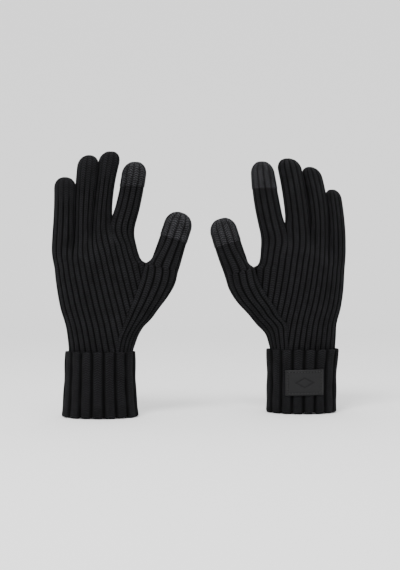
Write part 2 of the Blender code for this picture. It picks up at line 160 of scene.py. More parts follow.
def along(table, position):
    # smooth curve through a table's rows, whose first column is the position
    rows = np.array(table, float)
    keys, values = rows[:, 0], rows[:, 1:]
    slopes = np.gradient(values, keys, axis=0)
    place = np.clip(np.asarray(position, float), keys[0], keys[-1])
    k = np.clip(np.searchsorted(keys, place, side="right") - 1, 0, len(keys) - 2)
    span = keys[k + 1] - keys[k]
    t = ((place - keys[k]) / span)[..., None]
    span = span[..., None]
    return (values[k] * (1 + 2 * t) * (1 - t) ** 2 + slopes[k] * span * t * (1 - t) ** 2
            + values[k + 1] * t * t * (3 - 2 * t) + slopes[k + 1] * span * t * t * (t - 1))


def byHeight(pairs):
    # (across, height) pairs turned into a table that along() can read
    return [(height, across) for across, height in pairs]


def through(three, t):
    # parabola through three values at 0, 1/2 and 1
    return (three[0] * (1 - t) * (1 - 2 * t) + three[1] * 4 * t * (1 - t)
            + three[2] * t * (2 * t - 1))


def signedPower(value, power):
    return np.sign(value) * np.abs(value) ** power


def ovalPower(height):
    # 1 gives the palm an oval section, and less a squarer one
    return 1 - hand["squareness"] * np.clip((height - hand["squareStart"]) / hand["squareRise"],
                                            0, 1)


def depthShift(glove, across, height):
    # the hand turns a little about the vertical above the wrist
    width = hand["turnWidth"]
    return glove["turn"] * width * np.tanh(across / width) \
        * ease((height - hand["wrist"]) / hand["turnRise"])


def arcLength(line):
    # distance along a line of points, from 0 at its start
    steps = np.linalg.norm(np.diff(line, axis=0), axis=1)
    return np.concatenate([[0], np.cumsum(steps)])


def respaced(line, places):
    # points at shares (0 to 1) of the length of a line of points
    length = arcLength(line)
    return np.stack([np.interp(places * length[-1], length, line[:, k]) for k in range(3)], 1)


def toWorld(glove, points):
    scale = np.array([glove["side"], 1, 1]) * mm
    return points * scale + np.array([glove["x"], glove["y"], 0]) * mm


def fingerSpec(row):
    # a finger's row of measures as a digit, which the functions below read
    across, height, middle, tip, tipHeight, widths, depth, lean = row
    return {"origin": (across, height), "tilt": 0.0, "length": tipHeight - height,
            "drift": (0, middle - across, tip - across), "widths": widths,
            "depth": depth, "lean": lean}


def thumbSpec(row):
    start, end, widths, depth, lean = row
    root = thumb["root"]
    dx, dz = end[0] - start[0], end[1] - start[1]
    full = math.hypot(dx, dz)
    return {"origin": (start[0] + dx * root / full, start[1] + dz * root / full),
            "tilt": math.atan2(dx, dz), "length": full - root, "drift": (0, 0, 0),
            "widths": widths, "depth": depth, "lean": lean}


def digitCentre(glove, digit, distance):
    share = distance / digit["length"]
    across = digit["origin"][0] + through(digit["drift"], share) \
        + distance * math.sin(digit["tilt"])
    depth = depthShift(glove, digit["origin"][0], hand["wrist"] + hand["turnRise"]) \
        + digit["lean"] * np.clip(share, 0, None) ** 2
    return across, depth, digit["origin"][1] + distance * math.cos(digit["tilt"])


def digitAxis(digit):
    return np.array([math.sin(digit["tilt"]), 0, math.cos(digit["tilt"])])


def digitFoot(glove, digit):
    # the digit's first joint
    return np.array(digitCentre(glove, digit, 0))


def digitPoint(glove, digit, angle, distance, shrink=1.0):
    # point on the digit's skin; angle 0 faces the thumb, 90 degrees the palm
    share = np.clip(distance / digit["length"], 0, 1)
    width = through(digit["widths"], share) * shrink
    across, depth, height = digitCentre(glove, digit, distance)
    sideways = width * np.cos(angle)
    return np.stack(np.broadcast_arrays(
        across + sideways * math.cos(digit["tilt"]),
        depth + digit["depth"] * shrink * np.sin(angle),
        height - sideways * math.sin(digit["tilt"])), -1)


def tipRows(digit, first, step):
    # distances and shrinking of the rows from first to the crown of the tip
    crown = digit["depth"] * 1.02
    shoulder = digit["length"] - crown
    body = np.arange(first, shoulder, step)
    turn = np.linspace(0, math.pi / 2, int(crown * 1.5 / step))
    distances = np.concatenate([body, shoulder + crown * np.sin(turn)])
    fullness = 0.86  # 1 is a ball, and less is blunter
    shrink = np.concatenate([np.ones(len(body)), np.cos(turn) ** fullness])
    shrink[-1] = 0
    return distances, shrink


def strandHeight(side, course, lean, point):
    # V-shaped stitches about their mean height, 0 to 1 thick; side is 0 in the middle of a rib
    # and 1 at its edge, and point is the thickness left where a stitch's legs meet
    turn = (course + lean * side) % 1
    strand = np.sqrt(np.clip(1 - (2 * turn - 1) ** 2, 0, 1))
    return strand * (point + (1 - point) * ease(side / 0.3)) - 0.6


def knitHeight(wale, course, ribShare=1.0, relief=1.0):
    # height of the knit above its base: a rounded rib per wale with a narrow groove on each
    # side, and stitches that are flatter in the groove
    side = np.abs(2 * (wale % 1) - 1)
    body = np.clip(1 - side ** 3.4, 0, 1) ** 0.8
    strand = strandHeight(side, course, knit["lean"], 0.45)
    return (knit["proud"] + knit["grooveDepth"] * (body - 1) * ribShare
            + knit["stitchRelief"] * strand * (0.35 + 0.65 * body) * relief)


def digitHeight(wale, course, distance, shrinks, start, plain, touch):
    # height of the knit on a digit; past start its ribs fade by plain and, on a touch tip,
    # the yarn is thicker
    fade = 1 - plain * ease((distance - start) / knit["tipFade"])
    relief = knit["tipRelief"] + (1 - knit["tipRelief"]) * shrinks
    amount = knitHeight(wale, course, fade, relief)
    if touch:
        amount = amount + knit["touchSwell"] * ease((distance - start) / knit["swellStep"])
    return amount


def gridNormals(points, closed):
    # unit normals of a grid of points, rows by columns
    if closed:
        ring = points[:, :-1]
        aroundWay = np.roll(ring, -1, 1) - np.roll(ring, 1, 1)
        aroundWay = np.concatenate([aroundWay, aroundWay[:, :1]], 1)
    else:
        aroundWay = np.gradient(points, axis=1)
    upWay = np.gradient(points, axis=0)
    normals = np.cross(aroundWay, upWay)
    size = np.linalg.norm(normals, axis=2, keepdims=True)
    return normals / np.maximum(size, 1e-9)


def raised(points, normals, amount):
    return points + normals * amount[..., None]


def newMesh(name, bm):
    mesh = bpy.data.meshes.new(name)
    bm.to_mesh(mesh)
    bm.free()
    return mesh


def newObject(name, mesh, material):
    mesh.materials.append(material)
    obj = bpy.data.objects.new(name, mesh)
    bpy.context.scene.collection.objects.link(obj)
    return obj


def smoothFaces(bm):
    for face in bm.faces:
        face.smooth = True


def gridObject(name, glove, points, wales, courses, material, keep=None):
    # object whose skin is a grid of local points, with its UV map counting ribs and rows
    rows, columns = points.shape[:2]
    bm = bmesh.new()
    bmesh.ops.create_grid(bm, x_segments=columns - 1, y_segments=rows - 1, size=1)
    mesh = newMesh(name, bm)
    mesh.vertices.foreach_set("co", toWorld(glove, points.reshape(-1, 3)).ravel())
    corner = np.zeros(len(mesh.loops), np.int32)
    mesh.loops.foreach_get("vertex_index", corner)
    uv = np.stack([wales.ravel(), courses.ravel()], 1)[corner]
    mesh.uv_layers.new(name="stitches").data.foreach_set("uv", uv.astype(np.float32).ravel())
    bm = bmesh.new()
    bm.from_mesh(mesh)
    if keep is not None:
        bm.verts.ensure_lookup_table()
        hidden = [bm.verts[int(k)] for k in np.flatnonzero(~keep.ravel())]
        bmesh.ops.delete(bm, geom=hidden, context="VERTS")
    bmesh.ops.remove_doubles(bm, verts=bm.verts, dist=1e-6)
    if glove["side"] < 0:
        bmesh.ops.reverse_faces(bm, faces=bm.faces)
    smoothFaces(bm)
    bm.to_mesh(mesh)
    bm.free()
    return newObject(name, mesh, material)


def onHand(obj, side, slot, *nodes):
    # the piece stands for these nodes and moves with its hand
    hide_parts(*(f"{side}_{node}" for node in nodes))
    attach(obj, f"{side}_hand")


def colour(code):
    # sRGB hex to linear, opaque
    parts = [int(code[k:k + 2], 16) / 255 for k in (1, 3, 5)]
    return (*(p / 12.92 if p <= 0.04045 else ((p + 0.055) / 1.055) ** 2.4 for p in parts), 1)


def addNode(tree, kind, settings, output=0):
    # one output of a new node. An input, given by its name or its number, takes a value or
    # another node's output.
    node = tree.nodes.new(kind)
    for key, value in settings.items():
        if not isinstance(key, int) and key not in node.inputs:
            setattr(node, key, value)
        elif isinstance(value, bpy.types.NodeSocket):
            tree.links.new(value, node.inputs[key])
        else:
            node.inputs[key].default_value = value
    return node.outputs[output]


def newMaterial(name, base, settings):
    material = bpy.data.materials.new(name)
    material.use_nodes = True
    shader = material.node_tree.nodes["Principled BSDF"]
    for key, value in {"Base Color": colour(base), "IOR": 1.5, **settings}.items():
        shader.inputs[key].default_value = value
    return material, material.node_tree, shader


def yarnMaterial(name, base, light, speckle, sheen, ribShare=1.0, floor=0.06):
    # Spun acrylic and wool yarn, dyed black: matt, with short loose fibres that catch light
    # at grazing angles. A touch tip mixes in paler conductive fibre, which shows as heather.
    material, tree, shader = newMaterial(name, base, {
        "Roughness": 0.92, "Specular IOR Level": 0.08,
        "Sheen Weight": sheen, "Sheen Roughness": 0.55, "Sheen Tint": colour("#b9b9bc")})
    place = addNode(tree, "ShaderNodeTexCoord", {}, "Object")
    fibre = addNode(tree, "ShaderNodeTexNoise",
                    {"Vector": place, "Scale": 1400, "Detail": 3, "Roughness": 0.7})
    patch = addNode(tree, "ShaderNodeTexNoise", {"Vector": place, "Scale": 90, "Detail": 2})
    grains = addNode(tree, "ShaderNodeMapRange",
                     {"Value": fibre, "From Min": 0.46, "From Max": 0.74})
    cloud = addNode(tree, "ShaderNodeMath",
                    {"operation": "MULTIPLY_ADD", 0: patch, 1: 0.35, 2: -0.12})
    share = addNode(tree, "ShaderNodeMath", {"operation": "MULTIPLY_ADD", "use_clamp": True,
                                             0: grains, 1: speckle, 2: cloud})
    mix = addNode(tree, "ShaderNodeMix",
                  {"data_type": "RGBA", 0: share, 6: colour(base), 7: colour(light)},
                  2)
    # painted shade: the colour is darkened in the narrow valley between two ribs, where little
    # light comes back out
    uv = addNode(tree, "ShaderNodeUVMap", {"uv_map": "stitches"})
    across = addNode(tree, "ShaderNodeSeparateXYZ", {0: uv})
    ribs = addNode(tree, "ShaderNodeMath", {"operation": "MULTIPLY", 0: across, 1: ribShare})
    fold = addNode(tree, "ShaderNodeMath", {"operation": "PINGPONG", 0: ribs, 1: 0.5})
    valley = addNode(tree, "ShaderNodeMapRange",
                     {"interpolation_type": "SMOOTHSTEP", "Value": fold, "From Max": 0.26,
                      "To Min": floor})
    # and more painted shade in the crease between one V-shaped stitch and the next
    column = addNode(tree, "ShaderNodeMath", {"operation": "PINGPONG", 0: across, 1: 0.5})
    climb = addNode(tree, "ShaderNodeMath",
                    {"operation": "MULTIPLY_ADD", 0: column, 1: -2 * knit["lean"],
                     2: across.node.outputs["Y"]})
    rows = addNode(tree, "ShaderNodeMath", {"operation": "PINGPONG", 0: climb, 1: 0.5})
    creaseShade = addNode(tree, "ShaderNodeMapRange",
                     {"Value": rows, "From Min": 0.02, "From Max": 0.42})
    # painted shade of the valleys and the creases together, which scales the yarn's colour
    paintedShade = addNode(tree, "ShaderNodeMath", {"operation": "MULTIPLY", 0: valley, 1: creaseShade})
    shade = addNode(tree, "ShaderNodeVectorMath",
                    {"operation": "SCALE", 0: mix, "Scale": paintedShade})
    tree.links.new(shade, shader.inputs["Base Color"])
    # twisted plies, about four to a stitch leg
    stretch = addNode(tree, "ShaderNodeMapping", {"Vector": uv, "Scale": (9.0, 5.0, 1.0)})
    ply = addNode(tree, "ShaderNodeTexNoise",
                  {"Vector": stretch, "Scale": 1.0, "Detail": 4, "Roughness": 0.65})
    both = addNode(tree, "ShaderNodeMath", {"operation": "ADD", 0: ply, 1: fibre})
    bump = addNode(tree, "ShaderNodeBump", {"Height": both, "Strength": 0.8, "Distance": 0.00035})
    tree.links.new(bump, shader.inputs["Normal"])
    return material


# base and light are the colours of the yarn and of its loose fibres, speckle how much of these
# shows, ribShare the ribs in a unit of the UV map, and floor how bright the painted shade leaves
# the valleys
materials = {
    "yarn": yarnMaterial("blackRibYarn", "#131314", "#3a3a3e", 0.55, 0.02),
    "cuffYarn": yarnMaterial("blackCuffYarn", "#111112", "#333337", 0.55, 0.016, 0.5),
    "touchYarn": yarnMaterial("conductiveYarn", "#151516", "#68686d", 0.65, 0.025, floor=0.3),
    "tipYarn": yarnMaterial("blackTipYarn", "#121213", "#3a3a3e", 0.55, 0.02, floor=0.45),
}


fingerOrder = ("little", "ring", "middle", "index")
web = {
    # where a finger's side meets the web, in half widths, and half the web's length, in half
    # depths
    "overlap": 0.96, "reach": 0.34,
    # degrees from the middle of a finger's side to the web's end, and on to where its pull ends
    "corner": 30, "fade": 60,
}


def splitHeight(glove, wale):
    # height of the palm's upper end at a place round it, counted in ribs from the
    # little-finger side over the back of the hand
    heights = np.array(glove["splits"], float)
    back = np.arange(0, backEnd + 1, ribsPerFinger)
    stops = np.array([*back, *(back + thumbSideEnd), knit["palmWales"]], float)
    order = np.array([0, 1, 2, 3, 4, 4, 3, 2, 1, 0, 0])
    k = np.clip(np.searchsorted(stops, wale, side="right") - 1, 0, len(stops) - 2)
    t = ease((wale - stops[k]) / (stops[k + 1] - stops[k]))
    return heights[order[k]] * (1 - t) + heights[order[k + 1]] * t


def fingerAngle(wale):
    # finger (0 to 3) and angle round it for a place round the palm
    onBack = wale < thumbSideEnd
    rib = np.where(onBack, wale, wale - thumbSideEnd)
    lobe = np.clip(rib // ribsPerFinger, 0, 3)
    angle = np.where(onBack, fingerStart, ribAngle) + ribAngle * (rib - ribsPerFinger * lobe)
    return np.where(onBack, lobe, 3 - lobe).astype(int), np.radians(angle)


def crotchPoint(glove, digits, k, palmSide):
    # front or back end of the web between finger k and the next
    height = glove["splits"][k + 1]
    one, two = digits[fingerOrder[k]], digits[fingerOrder[k + 1]]
    ends = []
    for digit, way in ((one, 1), (two, -1)):
        distance = height - digit["origin"][1]
        across, depth, _ = digitCentre(glove, digit, distance)
        width = through(digit["widths"], min(max(distance / digit["length"], 0), 1))
        ends.append((across + way * width * web["overlap"], depth))
    across = (ends[0][0] + ends[1][0]) / 2
    depth = (ends[0][1] + ends[1][1]) / 2
    reach = web["reach"] * min(one["depth"], two["depth"])
    return np.array([across, depth + (reach if palmSide else -reach), height])


def rootOffset(glove, digits, k, angle, distance):
    # how far a finger's root is pulled from its round section to meet its neighbours
    digit = digits[fingerOrder[k]]
    skin = digitPoint(glove, digit, angle, distance)
    offset = np.zeros_like(skin)
    degrees = np.degrees(angle) % 360
    for way, neighbour in ((1, k), (-1, k - 1)):
        if not 0 <= neighbour <= 2:
            continue
        front = crotchPoint(glove, digits, neighbour, False)
        back = crotchPoint(glove, digits, neighbour, True)
        # degrees from the middle of this side, positive towards the palm
        turned = degrees if way > 0 else 180 - degrees
        turned = (turned + 180) % 360 - 180
        inWeb = np.abs(turned) <= web["corner"]
        share = np.clip((turned / web["corner"] + 1) / 2, 0, 1)[..., None]
        edge = front * (1 - share) + back * share
        offset = np.where(inWeb[..., None], edge - skin, offset)
        edgeHeight = glove["splits"][neighbour + 1] - digit["origin"][1]
        for end, corner in ((front, -web["corner"]), (back, web["corner"])):
            cornerAngle = math.radians(corner if way > 0 else 180 - corner)
            pull = end - digitPoint(glove, digit, cornerAngle, edgeHeight)
            past = (turned - corner) * (1 if corner > 0 else -1)
            fade = np.clip(1 - past / web["fade"], 0, 1) ** 2
            near = (past > 0) & (past < web["fade"])
            offset = np.where(near[..., None], offset + pull * fade[..., None], offset)
    return offset


def ribAngles(glove, ribs, levels):
    # angles round the palm's outline, a row for each level, that space the ribs evenly
    turns = np.linspace(0, 2 * math.pi, 721)
    # the middle of the thumb side, where the angle is 0
    first = (backEnd + thumbSideEnd) / 2
    rows = []
    for (outer, inner, depth), power in zip(along(glove["palm"], levels), ovalPower(levels)):
        line = np.stack([(inner - outer) / 2 * signedPower(np.cos(turns), power),
                         depth * signedPower(np.sin(turns), power)], 1)
        length = arcLength(line)
        place = ((ribs - first) % knit["palmWales"]) / knit["palmWales"] * length[-1]
        rows.append(np.interp(place, length, turns))
    return np.array(rows)


def palmOval(glove, wale, height):
    # the palm's surface below the fingers
    step = 2.0
    levels = np.arange(56, 208, step)
    angles = ribAngles(glove, wale[0], levels)
    index = np.clip((height - levels[0]) / step, 0, len(levels) - 1.001)
    low = index.astype(int)
    columns = np.broadcast_to(np.arange(wale.shape[1]), wale.shape)
    one, two = angles[low, columns], angles[low + 1, columns]
    change = (two - one + math.pi) % (2 * math.pi) - math.pi
    angle = one + change * (index - low)
    outer, inner, depth = np.moveaxis(along(glove["palm"], height), -1, 0)
    fanOuter, fanInner = np.moveaxis(along(glove["fan"], height), -1, 0)
    power = ovalPower(height)
    share = signedPower(np.cos(angle), power)
    # the ribs follow the fan, and only those near a side follow the outline's bends
    thumbShare, littleShare = ((1 + share) / 2) ** 14, ((1 - share) / 2) ** 4
    across = ((fanOuter + fanInner) / 2 + (fanInner - fanOuter) / 2 * share
              + (inner - fanInner) * thumbShare + (outer - fanOuter) * littleShare
              + along(glove["sway"], height)[..., 0] * (1 - share * share))
    deep = depth * signedPower(np.sin(angle), power)
    return np.stack([across, deep + depthShift(glove, across, height), height], -1)


def palmPoints(glove, digits, wale, height):
    # base surface of the palm at places round it and heights: an oval that turns into the four
    # fingers' sections towards its upper end
    oval = palmOval(glove, wale, height)
    split = splitHeight(glove, wale)
    finger, turn = fingerAngle(wale)
    lobes = np.zeros_like(oval)
    for k, name in enumerate(fingerOrder):
        digit = digits[name]
        base = digit["origin"][1]
        skin = digitPoint(glove, digit, turn, height - base)
        skin = skin + rootOffset(glove, digits, k, turn, split - base)
        skin[..., 2] = height
        lobes = np.where((finger == k)[..., None], skin, lobes)
    share = ease((height - (split - knit["shoulder"])) / knit["shoulder"])[..., None]
    return oval * (1 - share) + lobes * share


gusset = {
    "drop": 9.0,  # slope of its rows down to the thumb side
    "depth": 15.2, "depthGain": 1.6,  # half depth at the wrist, and growth to the crotch
    # from this height and over this height it turns from part of the palm into its own tube
    "roundStart": 74, "roundRise": 46,
    # slope of the palm's edge down under it, and distance past the seam where that ends
    "diveSlope": 1.1, "diveMost": 3,
    # how far the palm runs on under it, and how much further in its upper part
    "overlap": 2.4, "upperOverlap": 14, "upperStart": 98, "upperRise": 24,
    "edgeRoll": 1.3, "edgeRibs": 0.5,  # how far its own edges roll down, over how many ribs
}
thumb = {
    "root": 10.0,  # from the thumb's start to its first joint
    "touchLength": 27.0,  # length of the touch tip
    "tipPlain": 0.7,  # fading of the ribs, as a share of the fingers'
    # distances on each side of the first joint, and past the tip's start, listed with the thumb
    # pieces' bodies
    "bend": 10, "tipBend": 18,
    "levelling": 12,  # distance over which its rows become level
    # ribs beside the crotch that keep its corner, and ribs over which the change gets slower
    "crotchRibs": 0.3, "cornerRibs": 2.4,
    # length of the change from gusset to thumb at the crotch, and the far side's extra
    "crotchFade": 9, "slowFade": 22,
}


def palmGrid(glove, digits):
    columns = knit["palmWales"] * knit["perWale"]
    bottom, tall = hand["bottom"], hand["top"] - hand["bottom"]
    rows = int(tall / knit["rowStep"])
    wale = np.broadcast_to(np.linspace(0, knit["palmWales"], columns + 1),
                           (rows + 1, columns + 1)).copy()
    rise = np.linspace(0, 1, rows + 1)[:, None]
    height = bottom + (splitHeight(glove, wale) - bottom) * rise
    course = np.broadcast_to(tall / knit["course"] * rise, wale.shape)
    return palmPoints(glove, digits, wale, height), wale, course


def gussetSide(glove, points):
    # how far a point lies past the line where the palm's ribs end, towards the thumb
    crotch = glove["gussetLine"][-1][1]
    line = along(byHeight(glove["gussetLine"]), points[..., 2])[..., 0]
    return np.where(points[..., 2] < crotch, points[..., 0] - line, -np.inf)


def makePalm(side, glove, digits):
    points, wale, course = palmGrid(glove, digits)
    normals = gridNormals(points, True)
    past = gussetSide(glove, points)
    # the palm dives under the gusset's lower part, and runs on inside its upper part
    upper = ease((points[..., 2] - gusset["upperStart"]) / gusset["upperRise"])
    dive = np.clip(past + 0.4, 0, gusset["diveMost"]) * gusset["diveSlope"] * (1 - upper)
    surface = raised(points, normals, knitHeight(wale, course) - dive)
    palm = gridObject(f"{side}_palm", glove, surface, wale, course, materials["yarn"],
                      keep=past < gusset["overlap"] + gusset["upperOverlap"] * upper)
    onHand(palm, side, "knit", "hand_body")


def fingerGrid(glove, digits, k):
    digit = digits[fingerOrder[k]]
    columns = knit["digitWales"] * knit["perWale"]
    angle = np.linspace(math.radians(fingerStart), math.radians(fingerStart + 360), columns + 1)
    # the palm's upper end round this finger: back 4 ribs, thumb side 2, palm 4, outer 2
    rib = np.arange(columns + 1) / knit["perWale"]
    low, high = glove["splits"][k], glove["splits"][k + 1]
    swing = ease(rib / ribsPerFinger) - ease((rib - 6) / ribsPerFinger)
    start = low + (high - low) * swing - digit["origin"][1]
    distances, shrink = tipRows(digit, 0.0, knit["rowStep"])
    lower = int(round(-start.mean() / knit["rowStep"]))
    fraction = np.linspace(0, 1, lower, endpoint=False)[:, None]
    free = np.broadcast_to(distances[:, None], (len(distances), columns + 1))
    distance = np.concatenate([start * (1 - fraction), free])
    shrinks = np.concatenate([np.ones(lower), shrink])[:, None]
    angles = np.broadcast_to(angle, distance.shape)
    points = digitPoint(glove, digit, angles, distance, shrinks)
    rise = (distance - start) / knit["webRise"]
    offset = rootOffset(glove, digits, k, angles[:1], start[None, :])
    points = points + offset * (1 - ease(rise))[..., None]
    wale = np.broadcast_to(rib, distance.shape)
    course = (distance + hand["top"] - hand["bottom"]) / knit["course"]
    return points, wale, course, distance, shrinks


def makeFinger(side, glove, digits, k):
    name = fingerOrder[k]
    digit = digits[name]
    length = digit["length"]
    points, wale, course, distance, shrinks = fingerGrid(glove, digits, k)
    normals = gridNormals(points, True)
    normals[-1] = (0, 0, 1)
    touch = name == "index"
    amount = digitHeight(wale, course, distance, shrinks, length / 2, glove["tipPlain"], touch)
    surface = raised(points, normals, amount)
    surface[-1] = surface[-1].mean(0)
    # the knit is cut half way between two joints
    stops = (-length / 6, length / 6, length / 2, length * 5 / 6)
    one, two = np.searchsorted(distance[:, 0], stops[1:3])
    spans = {"lower": slice(0, one + 1), "middle": slice(one, two + 1),
             "touch_tip" if touch else "tip": slice(two, None)}
    for j, (label, rows) in enumerate(spans.items()):
        plain = "tipYarn" if label == "tip" and glove["tipPlain"] > 0.5 else "yarn"
        material = materials["touchYarn" if label == "touch_tip" else plain]
        piece = gridObject(f"{side}_{name}_{label}_knit", glove, surface[rows], wale[rows],
                           course[rows], material)
        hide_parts(f"{side}_{name}_{label}")
        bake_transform(piece)


def gussetSection(glove, height, top):
    # line of points from the gusset's seam on the back, round the thumb side, to the palm
    rise = (height - hand["wrist"]) / (top - hand["wrist"])
    seam = float(along(byHeight(glove["gussetLine"]), height)[0])
    drop = gusset["drop"] * float(ease(rise))
    outer = float(along(byHeight(glove["gussetOuter"]), height - drop)[0])
    low, high, deep = along(glove["palm"], height)
    middle, half = (low + high) / 2, (high - low) / 2
    power = float(ovalPower(height))
    ratio = min(abs((seam - middle) / half), 1) ** (1 / power)
    edge = deep * math.sqrt(max(1 - ratio * ratio, 0)) ** power
    turn = np.linspace(-math.pi / 2, math.pi / 2, 61)
    # at the wrist it is part of one oval with the palm, inside the cuff
    first = math.acos(min(max(seam / outer, 0), 1))
    part = turn * first / (math.pi / 2)
    simple = np.stack([outer * np.cos(part), edge * np.sin(part) / math.sin(first)], 1)
    centre = (seam + outer) / 2
    swell = gusset["depth"] + gusset["depthGain"] * float(ease(rise))
    roll = np.linspace(math.pi / 2, 0, 31)
    inner = np.stack([centre - (centre - seam) * np.sin(roll),
                      -(edge + (swell - edge) * np.cos(roll))], 1)
    bulge = np.stack([centre + (outer - centre) * np.cos(turn), swell * np.sin(turn)], 1)
    full = np.concatenate([inner[:-1], bulge, (inner[::-1] * (1, -1))[1:]])
    places = np.linspace(0, 1, knit["digitWales"] * knit["perWale"] + 1)
    lines = []
    for flat in (simple, full):
        across = flat[:, 0]
        z = height - drop * (across - seam) / max(outer - seam, 1)
        lines.append(respaced(np.stack([across, flat[:, 1], z], 1), places))
    share = float(ease((height - gusset["roundStart"]) / gusset["roundRise"]))
    section = lines[0] * (1 - share) + lines[1] * share
    section[:, 1] += depthShift(glove, section[:, 0], section[:, 2])
    return section


def thumbGrid(glove, digits):
    # the gusset's rows and then the thumb's, up to the crown of its tip
    digit = digits["thumb"]
    top = glove["gussetLine"][-1][1]
    heights = np.append(np.arange(hand["bottom"], top, knit["rowStep"]), top)
    sections = np.stack([gussetSection(glove, z, top) for z in heights])
    columns = knit["digitWales"] * knit["perWale"]
    angle = np.linspace(-math.pi, math.pi, columns + 1)
    crotch = sections[-1]
    start = (crotch - digitFoot(glove, digit)) @ digitAxis(digit)
    distances, shrink = tipRows(digit, float(start.mean()) + knit["rowStep"], knit["rowStep"])
    late = ease((distances - start.mean()) / thumb["levelling"])[:, None]
    distance = distances[:, None] + (start - start.mean()) * (1 - late)
    angles = np.broadcast_to(angle, distance.shape)
    rings = digitPoint(glove, digit, angles, distance, shrink[:, None])
    pull = crotch - digitPoint(glove, digit, angle, start)
    # the root keeps the gusset's width for longer on the side away from the crotch
    ribs = np.arange(columns + 1) / knit["perWale"]
    edge = np.minimum(ribs, knit["digitWales"] - ribs)
    away = ease((edge - thumb["crotchRibs"]) / thumb["cornerRibs"])
    past = np.clip((distance - start) / (thumb["crotchFade"] + thumb["slowFade"] * away), 0, 1)
    fade = (1 - past) ** 2.2 * (1 - away) + (1 - ease(past)) * away
    rings = rings + pull * fade[..., None]
    points = np.concatenate([sections, rings])
    distance = np.concatenate([(heights - top)[:, None] + start, distance])
    wale = np.broadcast_to(ribs, points.shape[:2])
    # counted from a place below the gusset
    course = (distance + 120) / knit["course"]
    shrinks = np.concatenate([np.ones(len(heights)), shrink])[:, None]
    return points, wale, course, distance, shrinks, len(heights)


def makeThumb(side, glove, digits):
    digit = digits["thumb"]
    points, wale, course, distance, shrinks, rootRows = thumbGrid(glove, digits)
    normals = gridNormals(points, False)
    # above the crotch the two edges meet in a seam, which needs one normal
    seam = normals[rootRows - 1:, 0] + normals[rootRows - 1:, -1]
    seam = seam / np.maximum(np.linalg.norm(seam, axis=1, keepdims=True), 1e-9)
    normals[rootRows - 1:, 0] = seam
    normals[rootRows - 1:, -1] = seam
    normals[-1] = digitAxis(digit)
    touchStart = digit["length"] - thumb["touchLength"]
    amount = digitHeight(wale, course, distance, shrinks, touchStart,
                         glove["tipPlain"] * thumb["tipPlain"], True)
    # the gusset's edges roll down under the palm's ribs
    edge = np.minimum(wale, knit["digitWales"] - wale)
    isGusset = (np.arange(len(points)) < rootRows)[:, None]
    roll = gusset["edgeRoll"] * (1 - ease(edge / gusset["edgeRibs"]))
    surface = raised(points, normals, amount - np.where(isGusset, roll, 0))
    surface[-1] = surface[-1].mean(0)
    cut = int(np.searchsorted(distance[:, 0][rootRows:], touchStart)) + rootRows
    spans = {"gusset": slice(0, rootRows), "lower": slice(rootRows - 1, cut + 1),
             "touch_tip": slice(cut, None)}
    palm, lower, tip = f"{side}_hand", f"{side}_thumb_lower_part", f"{side}_thumb_tip_part"
    bends = {"lower": (palm, lower, -thumb["bend"], thumb["bend"]),
             "touch_tip": (lower, tip, touchStart, touchStart + thumb["tipBend"])}
    for label, rows in spans.items():
        material = materials["touchYarn" if label == "touch_tip" else "yarn"]
        piece = gridObject(f"{side}_thumb_{label}_knit", glove, surface[rows], wale[rows],
                           course[rows], material)
        if label in bends:
            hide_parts(f"{side}_thumb_{label}")
            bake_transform(piece)
        else:
            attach(piece, palm)


cuff = {
    "depth": 23.4, "ribs": 16, "perRib": 16, "ribDepth": 1.9, "course": 2.3,
    "layer": 2.6, "inner": 4.4,  # thickness at the lip, and inward to the inner layer
    "floor": 0.4, "middle": 33.0, "top": 65.6, "step": 0.6,
    "lipStart": 52, "innerEnd": 61,  # heights where the hidden ends of the fabric are
    "lipRib": 0.2, "innerRib": 0.6,  # how much of the ribs shows there
    "groove": 0.13, "bank": 0.26,  # widths of a groove and its bank, in half ribs
    "crown": 0.4, "valley": 0.22,  # roundness of a rib, and of a groove's floor
    "lean": -0.8, "stitchRelief": 0.5,
    "uneven": 0.25, "wave": 0.21,  # soft unevenness along each rib, and its turns a mm
}


def cuffPath():
    # side view of the turned-back cuff: inward offset, height, rib share along the fabric
    lip, fold = cuff["layer"] / 2, cuff["inner"] / 2
    top, bottom = cuff["top"] - lip, cuff["floor"] + fold
    lipRib, innerRib = cuff["lipRib"], cuff["innerRib"]
    path = [(cuff["layer"], z, lipRib) for z in np.arange(cuff["lipStart"], top, 1.2)]
    for angle in np.linspace(0, math.pi, 8)[1:-1]:
        path.append((lip + lip * math.cos(angle), top + lip * math.sin(angle),
                     lipRib + (1 - lipRib) * angle / math.pi))
    path += [(0, z, 1.0) for z in np.arange(top, bottom, -cuff["step"])]
    for angle in np.linspace(0, math.pi, 12)[1:-1]:
        path.append((fold - fold * math.cos(angle), bottom - fold * math.sin(angle),
                     1.0 - (1 - innerRib) * angle / math.pi))
    path += [(cuff["inner"], z, innerRib) for z in np.arange(bottom, cuff["innerEnd"], 1.1)]
    return np.array(path)


def cuffBase(glove, angle, inward, height):
    outer, inner = np.moveaxis(along(glove["cuff"], height), -1, 0)
    middle, half = (outer + inner) / 2, (inner - outer) / 2
    return np.stack(np.broadcast_arrays(
        middle + (half - inward) * np.cos(angle), (cuff["depth"] - inward) * np.sin(angle),
        height), -1)


def cuffRib(place):
    # wide flat rib of two columns of stitches between recessed grooves; 0 is the groove
    side = np.abs(2 * ((place + 0.5) % 1) - 1)
    bank = ease((side - cuff["groove"]) / cuff["bank"])
    crown = 1 - cuff["crown"] * np.abs(2 * (place % 1) - 1) ** 3
    valley = cuff["valley"] * np.clip(1 - (side / cuff["groove"]) ** 2, 0, 1)
    return bank * crown + (1 - bank) * valley


